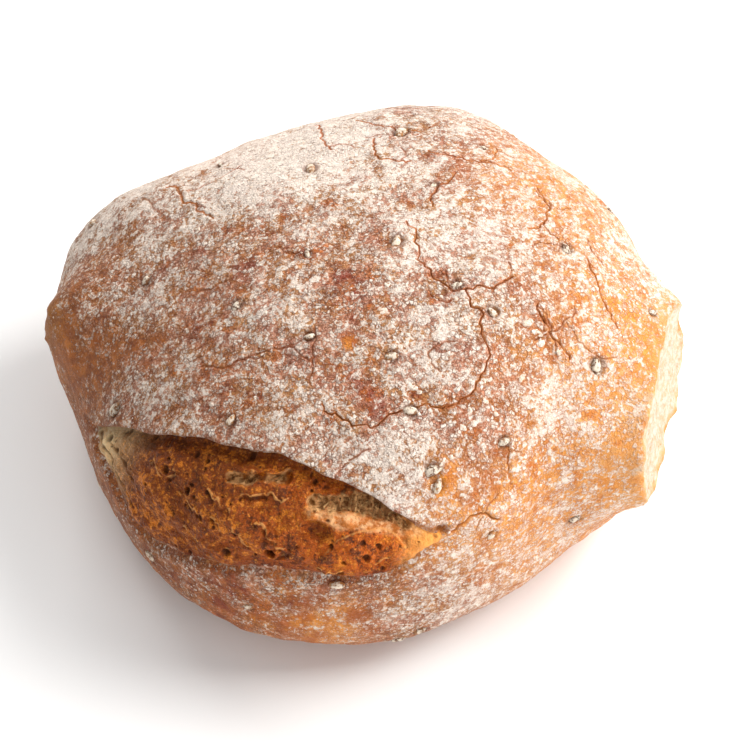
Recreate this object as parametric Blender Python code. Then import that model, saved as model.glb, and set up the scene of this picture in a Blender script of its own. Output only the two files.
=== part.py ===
"""A farmhouse loaf: one solid, baked beside others, with its front seam burst open.

Lengths are in millimetres up to the last step, which turns them to metres. The loaf stands on
z = 0 with its long way along X, and its burst seam looks to -Y.
A point of the crust is named by its azimuth (0 along +X, 90 along +Y) and its elevation, both in
degrees and both seen from HEART, a point above the middle of the base.
"""

import bmesh
import bpy
import numpy as np

MM = 0.001

# The whole form.
HEIGHT = 110.0
HEART = np.array([0.0, 0.0, 38.0])  # at the height where the loaf is widest
# Each 22.5 degrees, from +X.
RADII = (102.5, 102, 98, 104, 98.5, 94.5, 96, 112.5, 103.5, 97, 99, 101.5, 100, 96.5, 96, 105)
UNDER = 43.5  # how far the lower half would reach under the heart, if the base did not cut it flat
DOME_POWER = 2.3  # 2 is an ellipse and more is squarer
BELLY_POWER = 3.4
DOME_LEAN = 15.0  # how far the top of the dome sits toward +X
LUMP = 1.3  # height of the slow swells of the crust

# The faces where two neighbours stood in the oven, torn off when they were parted.
# Each has its own bearing, its distance from the heart, and its half width and half height.
# Past the rim the crust runs back to the loaf over the width of the flare.
KISSING_FACES = (
    {"azimuth": -17, "tilt": 8, "out": 107.0, "middle": (-2.5, 7.0), "half": (33.5, 23.5),
     "power": 3.2, "flare": 16.0, "rim": 1.0},
    {"azimuth": 185, "tilt": 12.5, "out": 107.3, "middle": (-6.5, 3.0), "half": (3.2, 6.5),
     "power": 2.6, "flare": 28.0, "rim": 0.4},
)
NUB = {"at": (181.0, 13.0), "radius": 3.5, "height": 1.2}

# The burst seam: stations (azimuth, elevation) along its two lips.
# Outside BURST the two lines run on round the loaf, only to carry the rows of the mesh.
BURST = (195.0, 288.0)
UPPER_LIP = ((30, 30), (90, 30), (140, 27), (168, 19), (185, 11), (196, 8.5), (206, 12), (213, 18.2),
             (221, 23), (230, 27.2), (239, 29.8), (248, 31), (258, 30), (264, 28.3), (271, 25.4),
             (277, 22), (284, 18.2), (292, 18), (310, 23), (345, 28))
LIP_END = (281.0, 271.0)  # the upper lip stands proud up to here, and only a soft valley runs on
LOWER_LIP = ((30, 3), (90, 3), (140, 2), (168, 0), (185, 0), (196, 7), (205, 7.5), (213, 5.5),
             (220, 2), (228, 1), (236, 3.7), (244, 6.5), (252, 9), (260, 10), (270, 10), (277, 11),
             (283, 14.5), (290, 12), (310, 6), (345, 3))
# Across the upper lip: (mm below its edge, mm outward, mm upward). The crust curls out over the
# tear, turns back under itself, and the torn dough swells out again below.
LIP_PROFILE = ((-30, 0, 0), (-14, 0.4, 0), (-7, 0.9, 0), (-3, 1.6, 0), (-0.7, 2.1, 0), (0, 1.9, -0.3),
               (0.9, 0.3, 0.2), (1.7, -2.0, 2.2), (2.5, -3.4, 2.5), (3.4, -3.3, 1.2), (4.8, -2.2, 0.2),
               (7, -1.0, 0), (11, 0, 0))
SWELL = 1.6  # how far the torn dough stands out between the lips
LOWER_STEP = 1.5  # depth of the crease along the lower lip

# Long tears inside the burst: stations, half width and depth.
TEARS = (
    (((240.5, 24), (244, 25.2), (247, 26.6), (251, 27.3)), 1.7, 3.0),
    (((258, 24.2), (262.5, 24.5), (266, 24.6), (270, 23.8), (274, 22.2), (276.5, 20.6)), 2.1, 3.6),
)
# Open bubbles of the burst: azimuth, elevation, radius and depth.
BUBBLES = ((260.2, 19.6, 4.2, 2.4), (253, 13.8, 1.9, 3.4), (228, 19.4, 1.5, 1.7), (234.2, 18.7, 1.4, 1.5),
           (245.5, 11.5, 1.5, 1.6), (284, 18.2, 1.9, 2.4), (238, 5.8, 1.5, 1.6), (210, 12.2, 1.5, 1.4),
           (270, 15, 1.6, 1.3))

# Main cracks of the top crust as stations (azimuth, elevation).
CRACKS = (
    ((320, 89), (284, 76), (297, 67), (306, 64), (322, 60), (328, 59)),
    ((306, 64), (306, 57), (301, 51), (301, 48), (294, 44), (288, 41), (280, 42), (274, 41),
     (266, 38), (261, 38), (256, 40), (252, 41)),
    ((353, 45), (344, 41), (338, 35)),
    ((25, 52), (13, 52), (3, 56), (0, 59)),
    ((326, 51), (322, 45), (322, 38)),
    ((51, 49), (50, 58), (38, 54)),
    ((53, 67), (52, 78), (34, 81)),
    ((298, 31), (298, 25), (299, 22)),
    ((286, 17), (292, 19), (296, 16)),
)
BACK_CRACKS = 5  # more of them on the far side, placed by chance
CRACK_HALF, CRACK_DEEP = 1.4, 1.4

# Grains baked into the crust: azimuth, elevation, length and turn of the ones that stand out most.
GRAINS = ((281, 30, 6.0, 20), (282, 27, 5.0, 70), (135, 59, 5.5, 10), (258, 82, 5.0, 100),
          (88, 54, 6.5, 15), (354, 50, 5.0, 60), (326, 34, 6.0, 80), (275, 41, 5.0, 0),
          (303, 66, 4.5, 30), (310, 56, 4.5, 120), (268, 52, 5.0, 20), (208, 18, 6.5, 75),
          (161, 20, 5.5, 40), (298, 31, 4.5, 10), (278, -13, 5.5, 5), (282, -11, 5.0, 30),
          (228, -4, 5.0, 160), (266, 8.6, 5.0, 5))
MORE_GRAINS = 30  # spread evenly over the rest of the crust
MORE_LENGTHS = (4.8, 3.4)  # of the first and the last of them
SEED = 11

# Fineness of the mesh before it is thinned.
QUARTER = 100  # columns in a quarter of the way round
ROWS = (34, 40, 56)  # base to lower lip, lower to upper lip, upper lip to the crown
CROWN = 62.0  # elevation where the rows end and the crown's square patch begins
BODY_TRIANGLES = 9600
PER_DEGREE = 1.75  # mm of crust in one degree of elevation

rng = np.random.default_rng(SEED)


def toward(azimuth, elevation):
    a, e = np.radians(azimuth), np.radians(elevation)
    return np.stack([np.cos(a) * np.cos(e), np.sin(a) * np.cos(e), np.sin(e)], -1)


def ramp(start, end, x):
    """0 before start and 1 past end, with a soft turn at both."""
    t = np.clip((x - start) / (end - start), 0, 1)
    return t * t * (3 - 2 * t)


def unit(v):
    return v / np.maximum(np.linalg.norm(v, axis=-1, keepdims=True), 1e-9)


def round_curve(stations, azimuth):
    """A smooth closed curve through (azimuth, value) stations, read at the given azimuths."""
    x, y = np.array(stations, float).T
    x = np.concatenate([x[-2:] - 360, x, x[:3] + 360])
    y = np.concatenate([y[-2:], y, y[:3]])
    slope = np.gradient(y, x)
    at = np.mod(azimuth, 360)
    k = np.clip(np.searchsorted(x, at, side="right") - 1, 0, len(x) - 2)
    step = x[k + 1] - x[k]
    t = (at - x[k]) / step
    rise = y[k + 1] - y[k]
    a = slope[k] * step - rise
    b = rise - slope[k + 1] * step
    return y[k] + t * rise + t * (1 - t) * (a * (1 - t) + b * t)


def noise(p, size, seed):
    """Smooth noise of -1 to 1, whose swells are about size across."""
    chance = np.random.default_rng(seed)
    table = chance.uniform(-1, 1, 4093)
    turn = np.linalg.qr(chance.normal(size=(3, 3)))[0]
    q = p @ turn / size + 500
    cell = np.floor(q).astype(int)
    part = q - cell
    part = part * part * (3 - 2 * part)
    total = np.zeros(len(p))
    for corner in np.ndindex(2, 2, 2):
        weight = np.prod(np.where(corner, part, 1 - part), axis=1)
        key = (cell + corner) @ (2741, 7919, 10477) % 4093
        total += weight * table[key]
    return total


def rough(p, size, octaves, seed):
    """Noise of several sizes, each half the last and half as strong."""
    return sum(noise(p, size / 2**k, seed + 31 * k) / 2**k for k in range(octaves))


def past_rim(p, face):
    """Distance outside the rim of a kissing face: negative on the face, large on the loaf's far side."""
    out = toward(face["azimuth"], face["tilt"])
    side = toward(face["azimuth"] + 90, 0)
    q = p - HEART
    u = q @ side - face["middle"][0]
    v = q @ np.cross(out, side) - face["middle"][1]
    power = face["power"]
    reach = (np.abs(u / face["half"][0]) ** power + np.abs(v / face["half"][1]) ** power) ** (1 / power)
    return np.where(q @ out > 0, np.hypot(u, v) * (1 - 1 / np.maximum(reach, 0.05)), 99)


def smooth_loaf(way):
    """The loaf with no fine relief: the point of its skin in each direction from the heart."""
    flat = np.hypot(way[:, 0], way[:, 1])
    azimuth = np.degrees(np.arctan2(way[:, 1], way[:, 0]))
    stations = [(k * 360 / len(RADII), radius) for k, radius in enumerate(RADII)]
    radius = round_curve(stations, azimuth)
    above = way[:, 2] > 0
    reach = np.where(above, HEIGHT - HEART[2], UNDER)
    power = np.where(above, DOME_POWER, BELLY_POWER)
    far = ((flat / radius) ** power + (np.abs(way[:, 2]) / reach) ** power) ** (-1 / power)
    p = way * far[:, None] + HEART
    p[:, 0] += DOME_LEAN * np.clip((p[:, 2] - HEART[2]) / (HEIGHT - HEART[2]), 0, 1) ** 1.5
    for face in KISSING_FACES:
        out = toward(face["azimuth"], face["tilt"])
        pull = (1 - np.clip(past_rim(p, face) / face["flare"], 0, 1)) ** 2
        p += out * ((face["out"] - (p - HEART) @ out) * pull)[:, None]
    return p


def skin_at(azimuth, elevation):
    return smooth_loaf(np.atleast_2d(toward(azimuth, elevation)))


def frame_at(way, p):
    """Outward normal and upward tangent of the smooth loaf."""
    first = unit(np.cross(way, (0.3, 0.2, 1.0)))
    second = np.cross(way, first)
    step = 0.01
    a = smooth_loaf(unit(way + first * step)) - p
    b = smooth_loaf(unit(way + second * step)) - p
    normal = unit(np.cross(a, b))
    normal *= np.where((normal * way).sum(1) < 0, -1, 1)[:, None]
    return normal, unit(np.array([0, 0, 1.0]) - normal * normal[:, 2:])


def to_path(p, path):
    """Distance of each point from a line through the points of path."""
    nearest = np.full(len(p), 1e9)
    for a, b in zip(path[:-1], path[1:]):
        t = np.clip((p - a) @ (b - a) / ((b - a) @ (b - a)), 0, 1)
        nearest = np.minimum(nearest, np.linalg.norm(p - a - t[:, None] * (b - a), axis=1))
    return nearest


def crooked(path, times, share, chance):
    """The path with a point added in each of its steps, off to one side, so many times over."""
    for _ in range(times):
        middle = (path[:-1] + path[1:]) / 2
        long = np.linalg.norm(path[1:] - path[:-1], axis=1, keepdims=True)
        middle = middle + chance.normal(size=middle.shape) * long * share
        path = np.insert(path, range(1, len(path)), middle, axis=0)
    return path


def crack_paths():
    """Points along each crack, all on the skin: the stations are made crooked as directions."""
    chance = np.random.default_rng(SEED + 1)
    paths = [toward(*np.array(stations, float).T) for stations in CRACKS]
    for k in range(BACK_CRACKS):
        at = np.array([35 + 130 * (k + chance.uniform(0.2, 0.8)) / BACK_CRACKS, chance.uniform(28, 58)])
        heading = chance.uniform(0, 2 * np.pi)
        steps = [at]
        for _ in range(5):
            heading += chance.uniform(-0.7, 0.7)
            at = at + 3.4 * np.array([np.cos(heading) / np.cos(np.radians(at[1])), np.sin(heading)])
            steps.append(at)
        paths.append(toward(*np.array(steps).T))
    return [smooth_loaf(unit(crooked(path, 3, 0.12, chance))) for path in paths]


def lip_lines(azimuth):
    ragged = 0.28 * np.sin(np.radians(azimuth) * 19 + 1) + 0.1 * np.sin(np.radians(azimuth) * 47)
    return round_curve(UPPER_LIP, azimuth) + ragged, round_curve(LOWER_LIP, azimuth)


def burst_relief(azimuth, elevation, p):
    """Outward and upward offsets of the burst seam."""
    azimuth = np.mod(azimuth, 360)
    upper, lower = lip_lines(azimuth)
    below = (upper - elevation) * PER_DEGREE
    width = np.maximum((upper - lower) * PER_DEGREE, 4)
    across = np.clip(below / width, 0, 1)
    right = ramp(BURST[1], BURST[1] - 11, azimuth)
    lip = ramp(BURST[0], BURST[0] + 22, azimuth) * ramp(*LIP_END, azimuth)
    open_share = ramp(BURST[0], BURST[0] + 12, azimuth) * right
    mm, outward, upward = np.array(LIP_PROFILE).T
    out = np.interp(below, mm, outward) * lip
    up = np.interp(below, mm, upward) * lip
    inside = ramp(2, 7, below) * ramp(0, 3, width - below) * open_share
    out += SWELL * np.sin(np.pi * across) ** 0.8 * inside
    out += 1.5 * rough(p * (0.7, 0.7, 1.2), 11, 3, SEED + 2) * inside
    past = below - width
    out -= LOWER_STEP * np.exp(-((past / 1.6) ** 2)) * open_share
    out += 0.9 * np.exp(-np.clip(past - 1, 0, None) / 5) * ramp(-0.5, 2.0, past) * open_share
    for stations, half, deep in TEARS:
        path = skin_at(*np.array(stations, float).T)
        gap = to_path(p, path) + 0.9 * noise(p, 4, SEED + 3)
        out -= deep * ramp(half * 1.25, half * 0.45, gap) * lip
    for at, height, radius, deep in BUBBLES:
        gap = np.linalg.norm(p - skin_at(at, height)[0], axis=1) * (1 + 0.2 * noise(p, 4, SEED + 4))
        out -= deep * ramp(radius * 1.1, radius * 0.35, gap)
        out += 0.35 * np.exp(-(((gap - radius * 1.15) / 0.7) ** 2))
    return out, up


def skin(way):
    """The finished skin, in millimetres, for directions from the heart."""
    p = smooth_loaf(way)
    normal, up = frame_at(way, p)
    azimuth = np.degrees(np.arctan2(way[:, 1], way[:, 0]))
    elevation = np.degrees(np.arcsin(np.clip(way[:, 2], -1, 1)))
    free = ramp(0, 14, p[:, 2])  # the rim of the base stays true
    out = LUMP * rough(p, 34, 3, SEED + 5) * free
    for face in KISSING_FACES:
        rim = past_rim(p, face)
        torn = rough(p, 9, 2, SEED + 7)
        out += 0.8 * torn * ramp(1.5, -1.5, rim)
        out += face["rim"] * (0.5 + torn) * np.exp(-((rim / 1.6) ** 2))
    gap = np.linalg.norm(p - skin_at(*NUB["at"])[0], axis=1)
    out += NUB["height"] * ramp(NUB["radius"], NUB["radius"] * 0.25, gap)
    for path in crack_paths():
        gap = to_path(p, path)
        out += 0.3 * np.exp(-(((gap - CRACK_HALF) / 1.6) ** 2)) - CRACK_DEEP * ramp(CRACK_HALF, 0, gap)
    seam_out, seam_up = burst_relief(azimuth, elevation, p)
    p = p + normal * (out + seam_out)[:, None] + up * seam_up[:, None]
    p[:, 2] = np.maximum(p[:, 2], 0)
    return p


def foot_elevation(azimuth):
    """Elevation at which the smooth loaf comes down to the base."""
    low, high = np.full(len(azimuth), -75.0), np.zeros(len(azimuth))
    for _ in range(40):
        middle = (low + high) / 2
        under = smooth_loaf(toward(azimuth, middle))[:, 2] < 0
        low, high = np.where(under, middle, low), np.where(under, high, middle)
    return high


def columns():
    """Azimuths all the way round, closer together at the burst."""
    fine = np.linspace(0, 360, 3601)
    density = 1 + 1.1 * ramp(188, 200, fine) * ramp(298, 286, fine)
    total = np.concatenate([[0], np.cumsum((density[1:] + density[:-1]) / 2)])
    return np.interp(np.arange(4 * QUARTER) / (4 * QUARTER) * total[-1], total, fine)


def crown_patch(azimuth):
    """Directions of a square grid that fills the crown, whose rim is the last row of columns."""
    n = QUARTER
    rim = np.stack([np.cos(np.radians(azimuth)), np.sin(np.radians(azimuth))], -1)
    rim = np.concatenate([rim, rim[:1]])
    south, east = rim[: n + 1], rim[n : 2 * n + 1]
    north, west = rim[2 * n : 3 * n + 1][::-1], rim[3 * n :][::-1]
    s = np.linspace(0, 1, n + 1)[:, None, None]
    t = np.linspace(0, 1, n + 1)[None, :, None]
    grid = (1 - t) * south[:, None] + t * north[:, None] + (1 - s) * west[None] + s * east[None]
    grid -= (1 - s) * (1 - t) * south[0] + s * (1 - t) * south[-1]
    grid -= (1 - s) * t * north[0] + s * t * north[-1]
    reach = np.clip(np.hypot(grid[..., 0], grid[..., 1]), 0, 1)
    return toward(np.degrees(np.arctan2(grid[..., 1], grid[..., 0])), 90 - (90 - CROWN) * reach)


def loaf_mesh():
    """The thinned body of the loaf, closed, with its flat base."""
    azimuth = columns()
    upper, lower = lip_lines(azimuth)
    lower = np.minimum(lower, upper - 7)
    foot = foot_elevation(azimuth)
    low, middle, high = (np.linspace(0, 1, count + 1) for count in ROWS)
    rows = [foot + (lower - foot) * t for t in low[:-1]]
    rows += [upper - (upper - lower) * t**1.5 for t in middle[::-1]]
    rows += [upper + (CROWN - upper) * t**1.15 for t in high[1:]]
    ways = np.array([toward(azimuth, row) for row in rows])
    wide = len(azimuth)
    patch = crown_patch(azimuth)
    n = QUARTER
    index = np.full((n + 1, n + 1), -1)
    top = (len(rows) - 1) * wide + np.arange(wide + 1) % wide
    top[-1] = (len(rows) - 1) * wide
    index[:, 0], index[n, :] = top[: n + 1], top[n : 2 * n + 1]
    index[:, n], index[0, :] = top[2 * n : 3 * n + 1][::-1], top[3 * n : 4 * n + 1][::-1]
    inner = index < 0
    index[inner] = len(rows) * wide + np.arange(inner.sum())
    points = skin(np.concatenate([ways.reshape(-1, 3), patch[inner]]))
    points[:wide, 2] = 0
    i, j = np.mgrid[0 : len(rows) - 1, 0:wide]
    k = (j + 1) % wide
    faces = np.stack([i * wide + j, i * wide + k, (i + 1) * wide + k, (i + 1) * wide + j], -1).reshape(-1, 4)
    cells = np.stack([index[:-1, :-1], index[1:, :-1], index[1:, 1:], index[:-1, 1:]], -1).reshape(-1, 4)
    mesh = bpy.data.meshes.new("loaf")
    base = [tuple(range(wide - 1, -1, -1))]
    mesh.from_pydata((points * MM).tolist(), [], faces.tolist() + cells.tolist() + base)
    return mesh


def thinned(mesh, triangles):
    """The same form with about this many triangles, most of them where the form turns most."""
    obj = bpy.data.objects.new("thin", mesh)
    bpy.context.collection.objects.link(obj)
    modifier = obj.modifiers.new("thin", "DECIMATE")
    modifier.ratio = triangles / (2 * (len(mesh.polygons) - 1) + 4 * QUARTER)
    graph = bpy.context.evaluated_depsgraph_get()
    result = bpy.data.meshes.new_from_object(obj.evaluated_get(graph))
    bpy.data.objects.remove(obj)
    for vertex in result.vertices:
        if vertex.co.z < 0.03 * MM:
            vertex.co.z = 0
    return result


def grain_places():
    """(azimuth, elevation, length, turn) of every grain, the known ones and then the spread ones."""
    places = [tuple(grain) for grain in GRAINS]
    taken = [toward(*grain[:2]) for grain in GRAINS]
    for k in range(MORE_GRAINS):
        tries = [(rng.uniform(0, 360), np.degrees(np.arcsin(rng.uniform(-0.2, 1)))) for _ in range(40)]
        tries = [t for t in tries if not off_limits(*t)]
        best = max(tries, key=lambda t: min(1 - toward(*t) @ other for other in taken))
        taken.append(toward(*best))
        length = np.interp(k, (0, MORE_GRAINS - 1), MORE_LENGTHS)
        places.append((*best, length, rng.uniform(0, 180)))
    return places


def off_limits(azimuth, elevation):
    """True on the burst and on the kissing faces."""
    upper, lower = lip_lines(np.array([azimuth]))
    in_burst = BURST[0] - 4 < azimuth < BURST[1] + 3 and lower[0] - 4 < elevation < upper[0] + 3
    point = skin_at(azimuth, elevation)
    return in_burst or any(past_rim(point, face)[0] < 3 for face in KISSING_FACES)


def add_grain(collection, number, azimuth, elevation, length, turn):
    """A plump kernel, lying on the skin and sunk about halfway into it."""
    way = np.atleast_2d(toward(azimuth, elevation))
    normal = frame_at(way, smooth_loaf(way))[0][0]
    side = unit(np.cross((0.1, 0.2, 1.0), normal))
    ahead = np.cos(np.radians(turn)) * side + np.sin(np.radians(turn)) * np.cross(normal, side)
    across = np.cross(normal, ahead)
    half = np.array([length / 2, length * 0.27, length * 0.26])
    at = skin(way)[0] + normal * half[2] * 0.15
    shape = bmesh.new()
    bmesh.ops.create_icosphere(shape, subdivisions=1, radius=1)
    for vertex in shape.verts:
        x, y, z = np.array(vertex.co) * half
        y *= 1 - 0.25 * x / half[0]
        vertex.co = (at + ahead * x + across * y + normal * z) * MM
    mesh = bpy.data.meshes.new("grain")
    shape.to_mesh(mesh)
    shape.free()
    collection.objects.link(bpy.data.objects.new("grain_%02d" % number, mesh))


def crust_material():
    material = bpy.data.materials.new("crust")
    material.use_nodes = True
    shader = material.node_tree.nodes["Principled BSDF"]
    shader.inputs["Base Color"].default_value = (0.36, 0.17, 0.085, 1)
    shader.inputs["Roughness"].default_value = 0.8
    shader.inputs["Metallic"].default_value = 0
    return material


def build():
    loaf = bpy.data.objects.new("loaf", thinned(loaf_mesh(), BODY_TRIANGLES))
    bpy.context.scene.collection.objects.link(loaf)
    grains = bpy.data.collections.new("grains")
    bpy.context.scene.collection.children.link(grains)
    for number, place in enumerate(grain_places()):
        add_grain(grains, number, *place)
    union = loaf.modifiers.new("grains", "BOOLEAN")
    union.operation = "UNION"
    union.operand_type = "COLLECTION"
    union.collection = grains
    union.solver = "MANIFOLD"
    graph = bpy.context.evaluated_depsgraph_get()
    whole = bpy.data.meshes.new_from_object(loaf.evaluated_get(graph))
    loaf.modifiers.clear()
    loaf.data = whole
    for grain in list(grains.objects):
        bpy.data.objects.remove(grain)
    bpy.data.collections.remove(grains)
    points = np.array([vertex.co for vertex in whole.vertices])
    middle = (points.min(0) + points.max(0)) / 2
    for vertex in whole.vertices:
        vertex.co.x -= middle[0]
        vertex.co.y -= middle[1]
    whole.materials.clear()
    whole.materials.append(crust_material())


for old in list(bpy.data.objects):
    bpy.data.objects.remove(old, do_unlink=True)
build()
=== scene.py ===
"""The farmhouse loaf at true size: floured crust, burst seam, torn faces, grains and crumbs.

The form functions work in millimetres round HEART, as the solid's do, and each mesh is moved and
scaled to the row frame, in metres, as it is made.
"""

import bmesh
import bpy
import numpy as np
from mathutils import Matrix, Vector


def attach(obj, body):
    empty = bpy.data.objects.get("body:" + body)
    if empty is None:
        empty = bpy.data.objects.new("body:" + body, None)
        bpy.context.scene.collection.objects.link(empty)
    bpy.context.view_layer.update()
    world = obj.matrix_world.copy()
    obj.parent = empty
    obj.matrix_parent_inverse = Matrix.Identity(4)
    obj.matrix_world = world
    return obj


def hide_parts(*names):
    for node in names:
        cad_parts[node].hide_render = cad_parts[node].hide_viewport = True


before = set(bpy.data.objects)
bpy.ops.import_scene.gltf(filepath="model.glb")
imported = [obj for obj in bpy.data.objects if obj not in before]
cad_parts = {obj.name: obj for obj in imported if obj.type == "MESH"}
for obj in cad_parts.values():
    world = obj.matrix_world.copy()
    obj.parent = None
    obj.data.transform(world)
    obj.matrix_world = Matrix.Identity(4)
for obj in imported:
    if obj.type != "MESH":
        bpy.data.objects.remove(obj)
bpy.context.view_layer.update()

MM = 0.001
ROW_ORIGIN = np.array([1.907, -0.817, 0.0])  # middle of the solid's base, in the form's own frame

HEIGHT = 110.0
HEART = np.array([0.0, 0.0, 38.0])
# The loaf's radii at 16 azimuths, its reach below the heart, and how square it is above and below.
RADII = (102.5, 102, 98, 104, 98.5, 94.5, 96, 112.5, 103.5, 97, 99, 101.5, 100, 96.5, 96, 105)
UNDER = 43.5
DOME_POWER = 2.3
BELLY_POWER = 3.4
DOME_LEAN = 15.0  # how far the top leans toward +X
LUMP = 1.3  # height of the broad lumps in the crust

# Kissing faces, where the loaf was torn from others: each lies on a plane, so far out from the heart.
# Its middle and half sizes are in mm on that plane, and over the flare the skin turns out to it.
KISSING_FACES = (
    {"azimuth": -17, "tilt": 8, "out": 107.0, "middle": (-2.5, 7.0), "half": (33.5, 23.5),
     "power": 3.2, "flare": 16.0, "rim": 1.0},
    {"azimuth": 185, "tilt": 12.5, "out": 107.3, "middle": (-6.5, 3.0), "half": (3.2, 6.5),
     "power": 2.6, "flare": 28.0, "rim": 0.4},
)
NUB = {"at": (181.0, 13.0), "radius": 3.5, "height": 1.2}  # on the small face

BURST = (195.0, 288.0)  # azimuths of its ends
# Azimuth and elevation along both lips of the burst.
UPPER_LIP = ((30, 30), (90, 30), (140, 27), (168, 19), (185, 11), (196, 8.5), (206, 12), (213, 18.2),
             (221, 23), (230, 27.2), (239, 29.8), (248, 31), (258, 30), (264, 28.3), (271, 25.4),
             (277, 22), (284, 18.2), (292, 18), (310, 23), (345, 28))
LIP_END = (281.0, 271.0)  # the upper lip stands proud up to here, and only a soft valley runs on
LOWER_LIP = ((30, 3), (90, 3), (140, 2), (168, 0), (185, 0), (196, 7), (205, 7.5), (213, 5.5),
             (220, 2), (228, 1), (236, 3.7), (244, 6.5), (252, 9), (260, 10), (270, 10), (277, 11),
             (283, 14.5), (290, 12), (310, 6), (345, 3))
# The upper lip's profile: mm below its line, and mm outward and upward.
LIP_PROFILE = ((-30, 0, 0), (-14, 0.4, 0), (-7, 0.9, 0), (-3, 1.6, 0), (-0.7, 2.1, 0), (0, 1.9, -0.3),
               (0.9, 0.3, 0.2), (1.7, -2.0, 2.2), (2.5, -3.4, 2.5), (3.4, -3.3, 1.2), (4.8, -2.2, 0.2),
               (7, -1.0, 0), (11, 0, 0))
SWELL = 1.6  # of the dough between the lips
LOWER_STEP = 1.5  # down to the lower lip

# Long tears in the burst: stations, half width and depth.
TEARS = (
    (((240.5, 24), (244, 25.2), (247, 26.6), (251, 27.3)), 1.7, 3.0),
    (((258, 24.2), (262.5, 24.5), (266, 24.6), (270, 23.8), (274, 22.2), (276.5, 20.6)), 2.1, 3.6),
)
# Bubbles: azimuth, elevation, radius and depth.
BUBBLES = ((260.2, 19.6, 4.2, 2.4), (253, 13.8, 1.9, 3.4), (228, 19.4, 1.5, 1.7), (234.2, 18.7, 1.4, 1.5),
           (245.5, 11.5, 1.5, 1.6), (284, 18.2, 1.9, 2.4), (238, 5.8, 1.5, 1.6), (210, 12.2, 1.5, 1.4),
           (270, 15, 1.6, 1.3))
# Smaller bubbles, on the burst only.
PINHOLES = ((213.2, 16.4, 1.1), (219.5, 20, 1.3), (213.8, 12.6, 1.1), (231.3, 24.3, 1.0), (242, 28.3, 1.4),
            (234.2, 24.5, 0.8), (239, 16, 0.8), (235.3, 3.9, 0.9), (268.8, 18, 0.9), (272, 17, 0.9),
            (246, 16, 0.7), (220, 11, 0.8), (263.5, 17.1, 0.8), (227, 21, 0.7), (266.2, 14.2, 1.0),
            (282.5, 17.3, 0.8), (285, 17.6, 0.9))
CHANCE_PINHOLES = 80
# Edges of torn film that lie on the burst, as stations.
FILM_EDGES = (((232, 16.9), (235, 16.7), (238.2, 16.4)), ((241, 17.2), (242.2, 16.7), (243.4, 15.6)),
              ((245.5, 17.3), (247.5, 15.8), (249.2, 14.5)),
              ((249, 19), (251.5, 17.6), (253.8, 15.6), (254.4, 13.4)),
              ((229, 18.4), (229.9, 19.4), (229.6, 20.6)),
              ((238, 21), (240, 20.2), (242.5, 20.6), (244, 19.4)),
              ((244.5, 22.5), (247, 23.4), (250, 24.6), (253, 24.4)), ((224, 18), (226, 18.6), (227.4, 17.6)),
              ((236, 12), (238.5, 10.8), (240, 11.4)), ((262, 13), (264, 12.4), (266.4, 12.8)),
              ((272, 13.4), (274, 14.4), (275.4, 16)), ((216, 14.2), (219, 14.8), (221, 13.8)))
# The lobe under the long tear: middle, half width and half height in degrees, and height in mm.
LOBE = {"at": (269.8, 14.6), "half": (7.4, 5.6), "height": 1.0}
# The pale slope under the long tear, and folds at the left end whose grooves get painted shade, as stations.
PALE_SLOPE = ((259, 22.6), (263.8, 22), (268.5, 21.6), (273.5, 20.5), (276.5, 19.8), (281, 18.8))
LEFT_FOLDS = (((208.5, 7.8), (214, 8.2), (219, 8), (223.5, 6.8)), ((211, 12), (216, 12.6), (220.5, 11.6)),
              ((206, 9.6), (212, 10.4), (216.5, 10)))

# Main cracks, as stations.
CRACKS = (
    ((320, 89), (284, 76), (297, 67), (306, 64), (322, 60), (328, 59)),
    ((306, 64), (306, 57), (301, 51), (301, 48), (294, 44), (288, 41), (280, 42), (274, 41),
     (266, 38), (261, 38), (256, 40), (252, 41)),
    ((353, 45), (344, 41), (338, 35)),
    ((25, 52), (13, 52), (3, 56), (0, 59)),
    ((326, 51), (322, 45), (322, 38)),
    ((51, 49), (50, 58), (38, 54)),
    ((53, 67), (52, 78), (34, 81)),
    ((298, 31), (298, 25), (299, 22)),
    ((286, 17), (292, 19), (296, 16)),
)
BACK_CRACKS = 5  # more of them by chance, at the back
CRACK_HALF, CRACK_DEEP = 0.26, 0.75  # the real width; the solid's grooves are widened to hold
HAIRLINES = 24  # thin cracks, most of them on the floured top
BRANCHES = 15  # thin cracks that leave the main ones
HAIR_HALF, HAIR_DEEP = 0.35, 0.4

# Grains that stand out: azimuth, elevation, length and turn.
GRAINS = ((281, 30, 6.0, 20), (282, 27, 5.0, 70), (135, 59, 5.5, 10), (258, 82, 5.0, 100),
          (88, 54, 6.5, 15), (354, 50, 5.0, 60), (326, 34, 6.0, 80), (275, 41, 5.0, 0),
          (303, 66, 4.5, 30), (310, 56, 4.5, 120), (268, 52, 5.0, 20), (208, 18, 6.5, 75),
          (161, 20, 5.5, 40), (298, 31, 4.5, 10), (278, -13, 5.5, 5), (282, -11, 5.0, 30),
          (228, -4, 5.0, 160), (266, 8.6, 5.0, 5))
MORE_GRAINS = 30  # spread over the rest of the crust
MORE_LENGTHS = (4.8, 3.4)  # of the first and the last of them
SEED = 11

# The crust's grid: columns in a quarter turn, rows below, across and above the burst, and the
# elevation at which the crown's square patch begins.
QUARTER = 92
ROWS = (34, 24, 70)
CROWN = 62.0
PER_DEGREE = 1.75  # mm on the burst for a degree of elevation
# The burst's own skin: its grid, its azimuths, and how far in mm it tucks under each lip.
SHEET_COLUMNS, SHEET_ROWS = 470, 205
SHEET_SPAN = (196.5, 287)
TUCK_UPPER, TUCK_LOWER = 2.0, 0.8
FLOUR_CRUMBS, QUICK_CRUMBS = 14000, 3000
THREADS = (5, 11)  # of crumb, across each tear

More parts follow.
